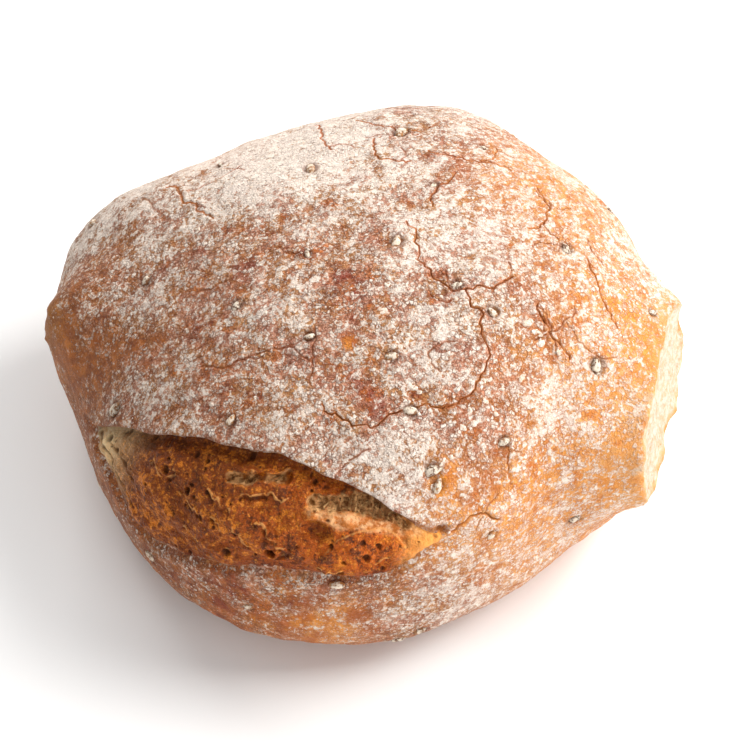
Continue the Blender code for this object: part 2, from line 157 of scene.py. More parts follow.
# Colour patches of the crust: azimuth, elevation, radius in degrees and amount.
FLOUR_SPOTS = (
    (344, 73, 16, 0.3), (73, 52, 20, -0.15), (128, 50, 20, 0.6), (180, 48, 8, -0.15),
    (282, 57, 8, 0.32), (187, 36, 7, 0.12), (236, 66, 5, -0.2), (200, 69, 5, -0.15),
    (238, 58, 10, 0.06), (249, 63, 4, -0.15), (209, 40, 14, -0.03), (218, 29, 8, 0.04),
    (233, 33, 8, -0.1), (251, 34, 8, 0.02), (263, 32, 7, 0.14), (274, 30, 7, 0.36),
    (280, 48, 7, 0.02), (296, 46, 8, 0.06), (307, 40, 8, 0.06), (295, 63, 9, -0.12), (303, 47, 6, -0.12),
    (283, 27, 3.5, -0.45), (1, 30, 9, 0.3), (325, 30, 9, 0.1), (312, 28, 6, 0.2),
    (331, 38, 4, 0.25), (322, 22, 9, -0.1), (315, 9, 12, -0.05), (337, 30, 9, -0.12),
    (314, -4, 14, 0.4), (288, -6, 12, 0.5), (291, 8, 6, 0.12), (252, 54, 1.5, -1.0),
    (13, 38, 12, -0.05), (189, 15, 14, -0.35), (200, 30, 10, -0.1),
)
WARM_SPOTS = (
    (324, 24, 14, 0.5), (318, 4, 20, 0.8), (340, 30, 14, 0.5), (298, 18, 9, 0.4), (285, 17, 8, 0.5),
    (252, 54, 2, 0.3), (295, 63, 8, -0.4), (20, 50, 20, 0.25), (182, 12, 8, 0.3),
    (236, 66, 5, -0.4), (178, 46, 5, -0.3), (265, -5, 9, 0.5), (283, 28, 4, 0.6),
)
CHANCE_SPOTS = 16  # more of both on the far side
# Clusters of flour lumps: azimuth, elevation, radius in degrees and how many.
LUMP_SPOTS = (
    (295, 63, 5, 16), (280, 49, 4.5, 16), (296, 46, 5, 18), (275, 43, 4.5, 14), (331, 38, 3, 14),
    (306, 37.5, 4, 16), (334, 37.5, 2.5, 8), (312, 28, 4, 22), (262, 32, 5, 14), (274, 30, 5, 20),
    (290, 37, 5, 16), (318, 46, 3, 10), (250, 36, 4, 8), (268, 60, 5, 10), (120, 52, 6, 12),
)
MORE_LUMPS = 420  # spread where the flour is thick

# Colours of the crust, as a screen shows them.
MAROON = (142, 54, 32)
UMBER = (186, 100, 42)
ORANGE = (232, 146, 48)
GOLD = (222, 152, 80)
CREAM = (216, 188, 154)
FLOUR = (242, 230, 218)
PEACH = (226, 152, 92)
# Painted shade for the hollows between the flour's clots.
HOLLOW_SHADE = (92, 38, 18)

# The view in metres and degrees, and each light's azimuth, elevation, distance, size, power, colour.
VIEW_ELEVATION, VIEW_DISTANCE = 50, 0.6
VIEW_TARGET = (0.0041, -0.0072, 0.0435)
LENS, SENSOR, CLIP_START = 84, 36, 0.02
SKY = 0.5
LIGHTS = (
    ("key", 12, 44, 1.1, 0.7, 16.5, (1.0, 0.985, 0.96)),
    ("back", 118, 34, 1.2, 0.6, 7, (1.0, 0.99, 0.97)),
    ("fill", -48, 10, 1.3, 0.9, 9, (1.0, 0.99, 0.98)),
)
LIGHT_TARGET = (0, 0, 0.04)
FLOOR_HALF = 3.0


def draws(number):
    """The random numbers of one kind of detail."""
    return np.random.default_rng(SEED + number)


def toward(azimuth, elevation):
    """The direction, or directions, from the heart at angles in degrees."""
    a, e = np.radians(azimuth), np.radians(elevation)
    return np.stack([np.cos(a) * np.cos(e), np.sin(a) * np.cos(e), np.sin(e)], -1)


def angles(way):
    """Azimuth and elevation of each direction, in degrees."""
    azimuth = np.degrees(np.arctan2(way[:, 1], way[:, 0]))
    return azimuth, np.degrees(np.arcsin(np.clip(way[:, 2], -1, 1)))


def bell(x, middle, width):
    """1 at the middle, falling to about a third at width on either side."""
    return np.exp(-(((x - middle) / width) ** 2))


def ramp(start, end, x):
    """0 before start and 1 past end, with a soft turn at both."""
    t = np.clip((x - start) / (end - start), 0, 1)
    return t * t * (3 - 2 * t)


def unit(v):
    """Each vector at length 1."""
    return v / np.maximum(np.linalg.norm(v, axis=-1, keepdims=True), 1e-9)


def round_curve(stations, azimuth):
    """A smooth closed curve through (azimuth, value) stations, read at the given azimuths."""
    x, y = np.array(stations, float).T
    x = np.concatenate([x[-2:] - 360, x, x[:3] + 360])
    y = np.concatenate([y[-2:], y, y[:3]])
    slope = np.gradient(y, x)
    at = np.mod(azimuth, 360)
    k = np.clip(np.searchsorted(x, at, side="right") - 1, 0, len(x) - 2)
    step = x[k + 1] - x[k]
    t = (at - x[k]) / step
    rise = y[k + 1] - y[k]
    a = slope[k] * step - rise
    b = rise - slope[k + 1] * step
    return y[k] + t * rise + t * (1 - t) * (a * (1 - t) + b * t)


def noise(p, size, seed):
    """Smooth noise of -1 to 1, whose swells are about size across."""
    chance = draws(seed)
    table = chance.uniform(-1, 1, 4093)
    turn = np.linalg.qr(chance.normal(size=(3, 3)))[0]
    q = p @ turn / size + 500
    cell = np.floor(q).astype(int)
    part = q - cell
    part = part * part * (3 - 2 * part)
    total = np.zeros(len(p))
    for corner in np.ndindex(2, 2, 2):
        weight = np.prod(np.where(corner, part, 1 - part), axis=1)
        key = (cell + corner) @ (2741, 7919, 10477) % 4093
        total += weight * table[key]
    return total


def rough(p, size, octaves, seed):
    """Noise of several sizes, each half the last and half as strong."""
    return sum(noise(p, size / 2**k, seed + 31 * k) / 2**k for k in range(octaves))


def past_rim(p, face):
    """Distance outside the rim of a kissing face: negative on the face, large on the loaf's far side."""
    out = toward(face["azimuth"], face["tilt"])
    side = toward(face["azimuth"] + 90, 0)
    q = p - HEART
    u = q @ side - face["middle"][0]
    v = q @ np.cross(out, side) - face["middle"][1]
    power = face["power"]
    reach = (np.abs(u / face["half"][0]) ** power + np.abs(v / face["half"][1]) ** power) ** (1 / power)
    return np.where(q @ out > 0, np.hypot(u, v) * (1 - 1 / np.maximum(reach, 0.05)), 99)


def smooth_loaf(way):
    """The loaf with no fine relief: the point of its skin in each direction from the heart."""
    flat = np.hypot(way[:, 0], way[:, 1])
    azimuth = angles(way)[0]
    stations = [(k * 360 / len(RADII), radius) for k, radius in enumerate(RADII)]
    radius = round_curve(stations, azimuth)
    above = way[:, 2] > 0
    reach = np.where(above, HEIGHT - HEART[2], UNDER)
    power = np.where(above, DOME_POWER, BELLY_POWER)
    far = ((flat / radius) ** power + (np.abs(way[:, 2]) / reach) ** power) ** (-1 / power)
    p = way * far[:, None] + HEART
    p[:, 0] += DOME_LEAN * np.clip((p[:, 2] - HEART[2]) / (HEIGHT - HEART[2]), 0, 1) ** 1.5
    for face in KISSING_FACES:
        out = toward(face["azimuth"], face["tilt"])
        pull = (1 - np.clip(past_rim(p, face) / face["flare"], 0, 1)) ** 2
        p += out * ((face["out"] - (p - HEART) @ out) * pull)[:, None]
    return p


def skin_at(azimuth, elevation):
    """The smooth loaf's skin at angles in degrees."""
    return smooth_loaf(np.atleast_2d(toward(azimuth, elevation)))


def line_at(stations):
    """The smooth loaf's skin at (azimuth, elevation) stations."""
    return skin_at(*np.array(stations, float).T)


def frame_at(way, p):
    """Outward normal and upward tangent of the smooth loaf."""
    first = unit(np.cross(way, (0.3, 0.2, 1.0)))
    second = np.cross(way, first)
    step = 0.01
    a = smooth_loaf(unit(way + first * step)) - p
    b = smooth_loaf(unit(way + second * step)) - p
    normal = unit(np.cross(a, b))
    normal *= np.where((normal * way).sum(1) < 0, -1, 1)[:, None]
    return normal, unit(np.array([0, 0, 1.0]) - normal * normal[:, 2:])


def to_path(p, path, most=6.0):
    """Distance of each point from a line through the points of path, or 99 where it is past most."""
    nearest = np.full(len(p), 99.0)
    close = np.all((p > path.min(0) - most) & (p < path.max(0) + most), axis=1)
    q = p[close]
    found = nearest[close]
    for a, b in zip(path[:-1], path[1:]):
        t = np.clip((q - a) @ (b - a) / ((b - a) @ (b - a)), 0, 1)
        found = np.minimum(found, np.linalg.norm(q - a - t[:, None] * (b - a), axis=1))
    nearest[close] = found
    return nearest


def crooked(path, times, share, chance):
    """The path with a point added in each of its steps, off to one side, so many times over."""
    for _ in range(times):
        middle = (path[:-1] + path[1:]) / 2
        long = np.linalg.norm(path[1:] - path[:-1], axis=1, keepdims=True)
        middle = middle + chance.normal(size=middle.shape) * long * share
        path = np.insert(path, range(1, len(path)), middle, axis=0)
    return path


def wandering(at, heading, steps, step, turn, chance):
    """Directions of a line that wanders over the skin from a place (azimuth, elevation)."""
    stations = [at]
    for _ in range(steps):
        heading += chance.uniform(-turn, turn)
        at = at + step * np.array([np.cos(heading) / np.cos(np.radians(at[1])), np.sin(heading)])
        stations.append(at)
    return toward(*np.array(stations).T)


def crack_ways():
    """Directions along each main crack."""
    chance = draws(1)
    paths = [toward(*np.array(stations, float).T) for stations in CRACKS]
    for k in range(BACK_CRACKS):
        at = np.array([35 + 130 * (k + chance.uniform(0.2, 0.8)) / BACK_CRACKS, chance.uniform(28, 58)])
        paths.append(wandering(at, chance.uniform(0, 2 * np.pi), 5, 3.4, 0.7, chance))
    return [unit(crooked(path, 3, 0.12, chance)) for path in paths]


def hairline_ways(mains):
    """Directions along each thin crack."""
    chance = draws(14)
    paths = []
    for _ in range(BRANCHES):
        main = mains[chance.integers(len(mains))]
        x, y, z = main[chance.integers(len(main))]
        at = np.degrees([np.arctan2(y, x), np.arcsin(z)])
        if at[1] < 74:
            paths.append(wandering(at, chance.uniform(0, 2 * np.pi), chance.integers(3, 7), 1.1, 0.6, chance))
    for _ in range(HAIRLINES):
        azimuth = chance.choice([chance.uniform(220, 400), chance.uniform(0, 360)], p=[0.7, 0.3])
        at = np.array([azimuth, chance.uniform(33, 72)])
        paths.append(wandering(at, chance.uniform(0, 2 * np.pi), chance.integers(4, 10), 1.4, 0.7, chance))
    return [unit(crooked(path, 1, 0.16, chance)) for path in paths]


MAIN_WAYS = crack_ways()
MAIN_CRACKS = [smooth_loaf(way) for way in MAIN_WAYS]
THIN_CRACKS = [smooth_loaf(way) for way in hairline_ways(MAIN_WAYS)]


def lip_lines(azimuth):
    """Elevations of the upper, slightly ragged lip and of the lower one."""
    ragged = 0.28 * np.sin(np.radians(azimuth) * 19 + 1) + 0.1 * np.sin(np.radians(azimuth) * 47)
    return round_curve(UPPER_LIP, azimuth) + ragged, round_curve(LOWER_LIP, azimuth)


def from_bubble(p, azimuth, elevation):
    """Distance from the middle of a bubble, which is not quite round."""
    return np.linalg.norm(p - skin_at(azimuth, elevation)[0], axis=1) * (1 + 0.2 * noise(p, 4, 4))


def burst_relief(azimuth, elevation, p):
    """Outward and upward offsets of the burst seam."""
    azimuth = np.mod(azimuth, 360)
    upper, lower = lip_lines(azimuth)
    below = (upper - elevation) * PER_DEGREE
    width = np.maximum((upper - lower) * PER_DEGREE, 4)
    across = np.clip(below / width, 0, 1)
    right = ramp(BURST[1], BURST[1] - 11, azimuth)
    lip = ramp(BURST[0], BURST[0] + 22, azimuth) * ramp(*LIP_END, azimuth)
    open_share = ramp(BURST[0], BURST[0] + 12, azimuth) * right
    mm, outward, upward = np.array(LIP_PROFILE).T
    out = np.interp(below, mm, outward) * lip
    up = np.interp(below, mm, upward) * lip
    inside = ramp(2, 7, below) * ramp(0, 3, width - below) * open_share
    out += SWELL * np.sin(np.pi * across) ** 0.8 * inside
    out += 1.5 * rough(p * (0.7, 0.7, 1.2), 11, 3, 2) * inside
    past = below - width
    out -= LOWER_STEP * bell(past, 0, 1.6) * open_share
    out += 0.9 * np.exp(-np.clip(past - 1, 0, None) / 5) * ramp(-0.5, 2.0, past) * open_share
    for stations, half, deep in TEARS:
        gap = to_path(p, line_at(stations)) + 0.9 * noise(p, 4, 3)
        out -= deep * ramp(half * 1.25, half * 0.45, gap) * lip
    for at, height, radius, deep in BUBBLES:
        gap = from_bubble(p, at, height)
        out -= deep * ramp(radius * 1.1, radius * 0.35, gap)
        out += 0.35 * bell(gap, radius * 1.15, 0.7)
    return out, up


def pinholes():
    """(azimuth, elevation, radius) of every small bubble."""
    chance = draws(20)
    found = list(PINHOLES)
    for _ in range(CHANCE_PINHOLES):
        azimuth = chance.uniform(200, 284)
        upper, lower = lip_lines(np.array([azimuth]))
        height = lower[0] + (upper[0] - lower[0]) * chance.uniform(0.05, 0.9)
        found.append((azimuth, height, 0.25 + 0.55 * chance.random() ** 2))
    return found


def tear_share(p, azimuth, elevation):
    """1 inside the long tears of the burst, and their ragged upper rims."""
    share, rim = np.zeros(len(p)), np.zeros(len(p))
    for stations, half, deep in TEARS:
        gap = to_path(p, line_at(stations)) + 0.9 * noise(p, 4, 3)
        gap = gap + 0.55 * rough(p, 1.9, 2, 36)
        patchy = 1 if half > 2 else ramp(-0.35, 0.15, noise(p, 3.6, 64))
        share = np.maximum(share, ramp(half * 1.25, half * 0.7, gap) * patchy)
        broken = ramp(-0.35, 0.25, noise(p, 2.2, 48))
        upper_side = ramp(-0.3, 1.0, elevation - np.interp(azimuth, *np.array(stations, float).T))
        rim = np.maximum(rim, bell(gap, half * 1.25, 0.3) * broken * upper_side)
    return share, rim


def burst_detail(p, azimuth, elevation):
    """Fine relief of the torn dough: wrinkles, film edges, pits, crumb; masks for colour and painted light.
    """
    out = 0.42 * rough(p, 4.6, 4, 21) + 0.5 * np.abs(rough(p, 2.8, 3, 46))
    flaps = noise(p, 5.2, 22) + 0.35 * noise(p, 1.8, 29)
    some = ramp(-0.15, 0.35, noise(p, 12, 23))
    out += 0.28 * some * ramp(-0.03, 0.04, flaps)
    # This mask marks raised film edges, bubble rings, tear rims and the lobe's edge for a painted highlight.
    film = 0.5 * some * bell(flaps, 0.035, 0.035)
    small = noise(p, 2.4, 24) + 0.4 * noise(p, 0.9, 34)
    some = ramp(0.05, 0.5, noise(p, 8, 25))
    out += 0.14 * some * ramp(-0.05, 0.05, small)
    film = np.maximum(film, 0.35 * some * bell(small, 0.05, 0.06))
    # Grooves under the film edges and folds at the left end, cut in and also darkened with painted shade.
    fold = np.zeros(len(p))
    chance = draws(65)
    for stations in FILM_EDGES:
        stations = crooked(np.array(stations, float), 3, 0.2, chance)
        gap = to_path(p, line_at(stations)) + 0.3 * noise(p, 1.3, 33)
        ridge = bell(gap, 0, 0.38) * ramp(-0.7, 0.0, noise(p, 2.2, 47))
        out += 0.5 * ridge
        film = np.maximum(film, ridge)
        gap = to_path(p, line_at(stations - (0, 0.6))) + 0.4 * noise(p, 1.3, 33)
        fold = np.maximum(fold, ramp(0.85, 0.1, gap) * ramp(-0.5, 0.3, noise(p, 2.6, 66)))
    for stations in LEFT_FOLDS:
        gap = to_path(p, line_at(stations)) + 0.5 * noise(p, 2.5, 35)
        fold = np.maximum(fold, ramp(0.8, 0.1, gap))
    out -= 0.8 * fold
    # Pits and bubble hollows, marked for painted shade.
    pit_shade = np.zeros(len(p))
    for at, height, radius in pinholes():
        centre = skin_at(at, height)[0]
        near = np.all(np.abs(p - centre) < radius * 3, axis=1)
        gap = np.linalg.norm(p[near] - centre, axis=1) * (1 + 0.6 * noise(p[near], 1.1, 26))
        depth = ramp(radius * 1.1, radius * 0.4, gap)
        out[near] += -1.2 * radius * depth
        pit_shade[near] = np.maximum(pit_shade[near], depth)
    for at, height, radius, deep in BUBBLES:
        gap = from_bubble(p, at, height) + 0.3 * noise(p, 1.2, 37)
        ring = 0.6 * bell(gap, radius * 1.12, 0.25) * ramp(-0.1, 0.5, noise(p, 1.8, 37))
        out += 0.5 * ring
        film = np.maximum(film, ring)
        pit_shade = np.maximum(pit_shade, ramp(radius, radius * 0.55, gap) * (0.5 if radius > 3 else 1))
    tear, rim = tear_share(p, azimuth, elevation)
    ribs = np.sin(2 * np.pi * azimuth / 1.9 + 5 * noise(p, 3.4, 38))
    out += tear * (0.3 * ribs + 1.2 * rough(p, 1.7, 3, 27)) + 0.55 * rim * (0.7 + noise(p, 3, 28))
    film = np.maximum(film, 0.75 * rim)
    (at, height), (half_wide, half_high) = LOBE["at"], LOBE["half"]
    across = np.hypot((azimuth - at) / half_wide, (elevation - height) / half_high)
    across = across + 0.06 * noise(p, 3, 39)
    upper_side = ramp(height - 1, height + 2.5, elevation)
    out += LOBE["height"] * ramp(1.06, 0.94, across) * (0.35 + 0.65 * upper_side)
    edge = bell(across, 1.0, 0.035) * ramp(-0.5, 0.3, noise(p, 3, 49))
    film = np.maximum(film, 0.9 * edge * upper_side)
    slope = ramp(3.4, 0.8, to_path(p, line_at(PALE_SLOPE)) + 1.1 * noise(p, 3, 40))
    return out, {"film": film, "pit_shade": pit_shade, "tear": tear, "ribs": tear * ribs, "slope": slope * (1 - tear),
                 "fold": fold}


def grain_places():
    """(azimuth, elevation, length, turn) of every grain, the known ones and then the spread ones."""
    chance = draws(0)
    places = list(GRAINS)
    taken = [toward(*grain[:2]) for grain in GRAINS]
    for k in range(MORE_GRAINS):
        tries = [(chance.uniform(0, 360), np.degrees(np.arcsin(chance.uniform(-0.2, 1))))
                 for _ in range(40)]
        tries = [t for t in tries if not off_limits(*t)]
        best = max(tries, key=lambda t: min(1 - toward(*t) @ other for other in taken))
        taken.append(toward(*best))
        length = np.interp(k, (0, MORE_GRAINS - 1), MORE_LENGTHS)
        places.append((*best, length, chance.uniform(0, 180)))
    return places


def off_limits(azimuth, elevation):
    """True on the burst and on the kissing faces."""
    upper, lower = lip_lines(np.array([azimuth]))
    in_burst = BURST[0] - 4 < azimuth < BURST[1] + 3 and lower[0] - 4 < elevation < upper[0] + 3
    point = skin_at(azimuth, elevation)
    return in_burst or any(past_rim(point, face)[0] < 3 for face in KISSING_FACES)


PLACES = grain_places()


def skin(way, fine=True):
    """The finished skin in millimetres, and what it is made of there."""
    p = smooth_loaf(way)
    smooth = p
    normal, up = frame_at(way, p)
    azimuth, elevation = angles(way)
    free = ramp(0, 14, p[:, 2])
    out = LUMP * rough(p, 34, 3, 5) * free
    out += 0.26 * rough(p, 3.8, 2, 8) * free
    torn_share = np.zeros(len(p))
    for face in KISSING_FACES:
        rim = past_rim(p, face)
        torn = rough(p, 9, 2, 7)
        on = ramp(1.5, -1.5, rim + 1.2 * noise(p, 5, 9))
        out += 0.8 * torn * ramp(1.5, -1.5, rim)
        out += face["rim"] * (0.5 + torn) * bell(rim, 0, 1.6)
        crumb = rough(p, 2.6, 2, 10)
        out += on * (0.35 * crumb - 1.1 * ramp(0.45, 0.9, noise(p, 3.4, 12)))
        torn_share = np.maximum(torn_share, on * (face is KISSING_FACES[0]))
    gap = np.linalg.norm(p - skin_at(*NUB["at"])[0], axis=1)
    out += NUB["height"] * ramp(NUB["radius"], NUB["radius"] * 0.25, gap)
    crack, hair = np.zeros(len(p)), np.zeros(len(p))
    if fine:
        wide = CRACK_HALF * (1 + 0.85 * noise(p, 5, 13))
        for path in MAIN_CRACKS:
            gap = to_path(p, path, 4)
            out += 0.25 * bell(gap, 1.2, 0.9) - CRACK_DEEP * ramp(wide, 0, gap)
            crack = np.maximum(crack, ramp(wide + 0.32, 0, gap))
        for path in THIN_CRACKS:
            gap = to_path(p, path, 3)
            out += 0.1 * bell(gap, 0.8, 0.5) - HAIR_DEEP * ramp(HAIR_HALF, 0, gap)
            hair = np.maximum(hair, ramp(0.6, 0.05, gap))
    # The moat round each grain, which the crust's colour darkens with painted shade.
    moat = np.zeros(len(p))
    for place in PLACES:
        centre = skin_at(*place[:2])[0]
        near = np.all(np.abs(p - centre) < 8, axis=1)
        gap = np.linalg.norm(p[near] - centre, axis=1) / place[2]
        out[near] += 0.3 * bell(gap, 0.7, 0.25) - 0.5 * ramp(0.5, 0.35, gap)
        moat[near] = np.maximum(moat[near], ramp(0.6, 0.45, gap))
    seam_out, seam_up = burst_relief(azimuth, elevation, p)
    p = p + normal * (out + seam_out)[:, None] + up * seam_up[:, None]
    p[:, 2] = np.maximum(p[:, 2], 0)
    return p, smooth, normal, {"crack": crack, "hair": hair, "torn": torn_share, "moat": moat}


def foot_elevation(azimuth):
    """Elevation at which the smooth loaf comes down to the base."""
    low, high = np.full(len(azimuth), -75.0), np.zeros(len(azimuth))
    for _ in range(40):
        middle = (low + high) / 2
        under = smooth_loaf(toward(azimuth, middle))[:, 2] < 0
        low, high = np.where(under, middle, low), np.where(under, high, middle)
    return high


def columns():
    """Azimuths all the way round, closer together on the side that the photograph shows."""
    fine = np.linspace(0, 360, 3601)
    density = 1 + 0.7 * ramp(170, 195, fine) * ramp(370, 340, fine)
    total = np.concatenate([[0], np.cumsum((density[1:] + density[:-1]) / 2)])
    return np.interp(np.arange(4 * QUARTER) / (4 * QUARTER) * total[-1], total, fine)


def crown_patch(azimuth):
    """Directions of a square grid that fills the crown, whose rim is the last row of columns."""
    n = QUARTER
    rim = np.stack([np.cos(np.radians(azimuth)), np.sin(np.radians(azimuth))], -1)
    rim = np.concatenate([rim, rim[:1]])
    south, east = rim[: n + 1], rim[n : 2 * n + 1]
    north, west = rim[2 * n : 3 * n + 1][::-1], rim[3 * n :][::-1]
    s = np.linspace(0, 1, n + 1)[:, None, None]
    t = np.linspace(0, 1, n + 1)[None, :, None]
    grid = (1 - t) * south[:, None] + t * north[:, None] + (1 - s) * west[None] + s * east[None]
    grid -= ((1 - s) * (1 - t) * south[0] + s * (1 - t) * south[-1] + (1 - s) * t * north[0]
             + s * t * north[-1])
    reach = np.clip(np.hypot(grid[..., 0], grid[..., 1]), 0, 1)
    return toward(np.degrees(np.arctan2(grid[..., 1], grid[..., 0])), 90 - (90 - CROWN) * reach)


def depth_in_burst(way):
    """How far inside the burst's edge a direction lies, in mm, and how open the burst is there."""
    azimuth, elevation = angles(way)
    azimuth = np.mod(azimuth, 360)
    upper, lower = lip_lines(azimuth)
    below = (upper - elevation) * PER_DEGREE
    width = (upper - lower) * PER_DEGREE
    ends = ramp(198, 204, azimuth) * ramp(286.5, 283, azimuth)
    return below, width - below, ends


def crust_grid():
    """Directions and faces of the whole skin, closer where the form is fine."""
    azimuth = columns()
    upper, lower = lip_lines(azimuth)
    lower = np.minimum(lower, upper - 7)
    foot = foot_elevation(azimuth)
    low, middle, high = (np.linspace(0, 1, count + 1) for count in ROWS)
    rows = [foot + (lower - foot) * t for t in low[:-1]]
    rows += [upper - (upper - lower) * t**1.5 for t in middle[::-1]]
    rows += [upper + (CROWN - upper) * t**1.15 for t in high[1:]]
    ways = np.array([toward(azimuth, row) for row in rows])
    wide, n = len(azimuth), QUARTER
    patch = crown_patch(azimuth)
    index = np.full((n + 1, n + 1), -1)
    top = (len(rows) - 1) * wide + np.arange(wide + 1) % wide
    top[-1] = (len(rows) - 1) * wide
    index[:, 0], index[n, :] = top[: n + 1], top[n : 2 * n + 1]
    index[:, n], index[0, :] = top[2 * n : 3 * n + 1][::-1], top[3 * n : 4 * n + 1][::-1]
    inner = index < 0
    index[inner] = len(rows) * wide + np.arange(inner.sum())
    ways = np.concatenate([ways.reshape(-1, 3), patch[inner]])
    i, j = np.mgrid[0 : len(rows) - 1, 0:wide]
    k = (j + 1) % wide
    faces = np.stack([i * wide + j, i * wide + k, (i + 1) * wide + k, (i + 1) * wide + j], -1).reshape(-1, 4)
    cells = np.stack([index[:-1, :-1], index[1:, :-1], index[1:, 1:], index[:-1, 1:]], -1).reshape(-1, 4)
    return ways, np.concatenate([faces, cells]), wide


def band(rows, around):
    """Faces between rings of points, one ring after the other."""
    faces = []
    for r in range(rows):
        for s in range(around):
            a, b = r * around + s, r * around + (s + 1) % around
            faces.append((a, b, b + around, a + around))
    return faces


def mesh_of(name, points, faces):
    """A mesh of these points, in metres, and faces."""
    mesh = bpy.data.meshes.new(name)
    mesh.from_pydata(points, [], faces if isinstance(faces, list) else faces.tolist())
    return mesh


def in_scene(name, data):
    """An object with this mesh, lamp or camera, put into the scene."""
    obj = bpy.data.objects.new(name, data)
    bpy.context.scene.collection.objects.link(obj)
    return obj


def divided(ways, faces, wanted, cuts):
    """The grid with the faces that touch a wanted vertex divided; directions stay unit vectors."""
    mesh = mesh_of("directions", ways.tolist(), faces)
    grid = bmesh.new()
    grid.from_mesh(mesh)
    bpy.data.meshes.remove(mesh)
    chosen = [face for face in grid.faces if any(wanted[v.index] for v in face.verts)]
    edges = list({edge for face in chosen for edge in face.edges})
    bmesh.ops.subdivide_edges(grid, edges=edges, cuts=cuts, use_grid_fill=True)
    grid.verts.index_update()
    new_ways = unit(np.array([v.co for v in grid.verts]))
    new_faces = [[v.index for v in face.verts] for face in grid.faces]
    grid.free()
    return new_ways, new_faces


def piece(name, points, faces, smooth=True):
    """A mesh piece of the loaf, from points in millimetres."""
    mesh = mesh_of(name, ((np.asarray(points) - ROW_ORIGIN) * MM).tolist(), faces)
    mesh.polygons.foreach_set("use_smooth", [smooth] * len(mesh.polygons))
    obj = in_scene(name, mesh)
    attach(obj, "root")
    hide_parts("loaf")
    return obj


def paint(obj, **values):
    """One number for each vertex, under each name, for the material to read."""
    for name, value in values.items():
        layer = obj.data.attributes.new(name, "FLOAT", "POINT")
        layer.data.foreach_set("value", np.asarray(value, np.float32))


def spots(way, places):
    """The sum of soft round spots, each (azimuth, elevation, radius, amount)."""
    total = np.zeros(len(way))
    for azimuth, elevation, radius, amount in places:
        angle = np.degrees(np.arccos(np.clip(way @ toward(azimuth, elevation), -1, 1)))
        total += amount * bell(angle, 0, radius)
    return total


def far_spots(seed, strength):
    """Spots by chance on the side that the photograph hides."""
    chance = draws(seed)
    places = []
    for _ in range(CHANCE_SPOTS):
        azimuth, elevation = chance.uniform(10, 175), chance.uniform(-5, 60)
        places.append((azimuth, elevation, chance.uniform(6, 15), chance.uniform(-1, 1) * strength))
    return tuple(places)


def flour_density(way, p):
    """0 for bare crust and 1 for a thick dusting, which lies in patches and in clots."""
    height = p[:, 2]
    density = 0.3 + 0.25 * ramp(25, 80, height) + 0.2 * ramp(0, 45, p[:, 1]) * ramp(60, 90, height)
    density += spots(way, FLOUR_SPOTS + far_spots(30, 0.22))
    density -= 0.15 * ramp(30, 8, height)
    density += 0.08 * rough(p, 17, 2, 61) + 0.17 * rough(p, 5, 2, 62)
    for face in KISSING_FACES:
        density -= 0.3 * ramp(4, -3, past_rim(p, face))
    return np.clip(density, 0, 1.1)


def make_crust():
    """The whole skin but the burst, with its faces divided along the cracks."""
    ways, faces, wide = crust_grid()
    smooth = smooth_loaf(ways)
    near = np.zeros(len(ways), bool)
    for path in MAIN_CRACKS:
        near |= to_path(smooth, path) < 1.0
    for path in THIN_CRACKS:
        near |= to_path(smooth, path) < 0.8
    near &= smooth[:, 1] < 60
    ways, faces = divided(ways, faces, near, 2)
    smooth = smooth_loaf(ways)
    below, above, ends = depth_in_burst(ways)
    hidden = (below > 1.9) & (above > 0.7) & (ends > 0.6)
    faces = [face for face in faces if not all(hidden[v] for v in face)]
    faces.append(list(range(wide - 1, -1, -1)))
    p, smooth, normal, parts = skin(ways)
    p[:wide, 2] = 0
    used = np.zeros(len(p), bool)
    for face in faces:
        used[face] = True
    number = np.cumsum(used) - 1
    faces = [number[face].tolist() for face in faces]
    ways, p, smooth, normal = ways[used], p[used], smooth[used], normal[used]
    around = np.mod(angles(ways)[0], 360)
    warm = 0.2 + 0.4 * ramp(0, 105, smooth[:, 0]) + spots(ways, WARM_SPOTS + far_spots(31, 0.3))
    face, tip = KISSING_FACES
    rim = past_rim(smooth, face) + 2.4 * noise(smooth, 8, 32) + 1.5 * noise(smooth, 2.5, 45)
    golden, pale = ramp(11, -1, rim), ramp(3.5, -6.5, rim)
    density = flour_density(ways, smooth)
    p = p + normal * (0.35 * ramp(0.45, 0.7, density) * (smooth[:, 2] > 2))[:, None]
    below, above, ends = depth_in_burst(ways)
    valley = ramp(5.5, 1, np.hypot((around - 281) * 1.1, (below - 3) * 0.9)) * ramp(276, 280, around)
    crust = piece("crust", p, faces)
    paint(crust, flour=density, warm=np.clip(warm, 0, 1), golden=golden, pale=pale, valley=valley,
          tip=ramp(10, -2, past_rim(smooth, tip)), belly=ramp(34, 8, smooth[:, 2]),
          lip=ramp(1.6, 0.2, np.abs(below - 1.2)) * ends, left=ramp(-20, -95, smooth[:, 0]),
          **{name: value[used] for name, value in parts.items()})
    crust.data.materials.append(crust_material())


